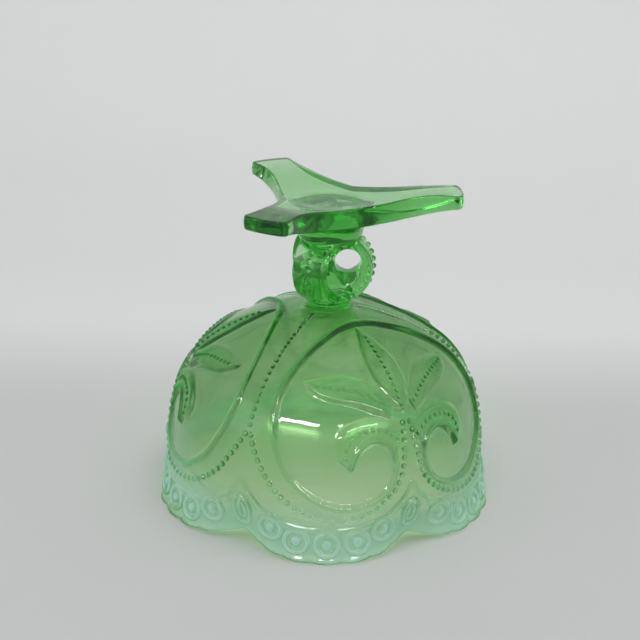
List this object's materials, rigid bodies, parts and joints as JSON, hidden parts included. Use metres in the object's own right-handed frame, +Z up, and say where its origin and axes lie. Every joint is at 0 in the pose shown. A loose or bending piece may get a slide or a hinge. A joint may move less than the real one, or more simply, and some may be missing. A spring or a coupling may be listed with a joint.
{
  "type": "footed candy dish",
  "caption": "Pressed-glass footed bowl with a scalloped opalescent rim, an open looped stem and a star-shaped foot, stored upside down on its rim.",
  "frame": {"origin": "centre of the scalloped rim, on the level that the rim's lobes rest on", "axes": "+Z up along the axis of the dish, from the rim towards the foot (the dish is upside down); +X along one foot arm and its stem loop; +Y across it"},
  "size_m": [0.145, 0.1544, 0.137],
  "materials": {
    "green_glass": "clear light green pressed glass, glossy",
    "stem_glass": "clear green pressed glass, glossy, deeper in colour where it is thick",
    "opal_glass": "milky opalescent green-white pressed glass, glossy"
  },
  "bodies": {
    "root": {"rim_border": "opal_glass", "bowl": "green_glass", "neck": "stem_glass", "stem_core": "stem_glass", "stem_loop_1": "stem_glass", "stem_loop_2": "stem_glass", "stem_loop_3": "stem_glass", "foot": "stem_glass"}
  },
  "joints": []
}
